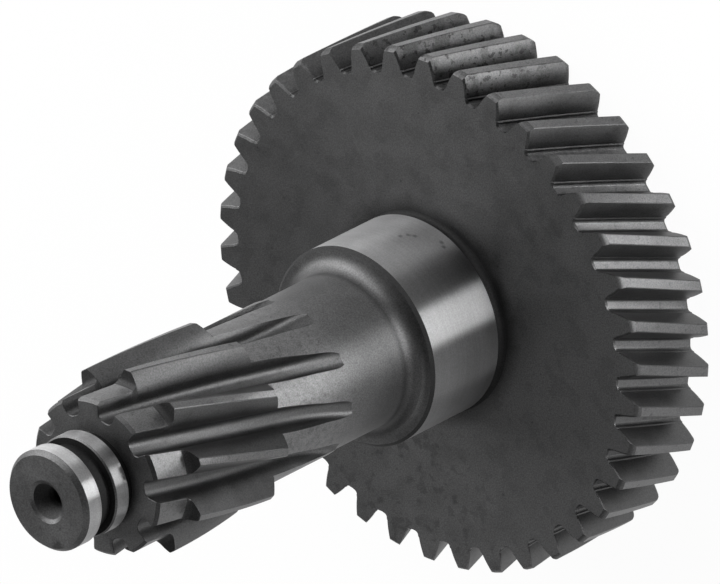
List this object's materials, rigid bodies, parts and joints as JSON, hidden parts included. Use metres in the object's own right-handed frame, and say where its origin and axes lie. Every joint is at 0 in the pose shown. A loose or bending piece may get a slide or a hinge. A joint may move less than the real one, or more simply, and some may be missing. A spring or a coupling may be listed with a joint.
{
  "type": "intermediate shaft",
  "caption": "Countershaft of a small reduction gearbox: helical gear, bearing collar, neck, helical pinion and grooved end journal in one piece.",
  "frame": {"origin": "centre of the gear's outer face, on the shaft axis", "axes": "+Z along the shaft axis from the gear to the end journal; +X is across the axis, in the plane that the tooth phase is measured from"},
  "size_m": [0.053, 0.053, 0.0635],
  "materials": {
    "steel": "ground seats, hobbed teeth, satin turned faces"
  },
  "bodies": {
    "root": {"intermediate_shaft": "steel"}
  },
  "joints": []
}
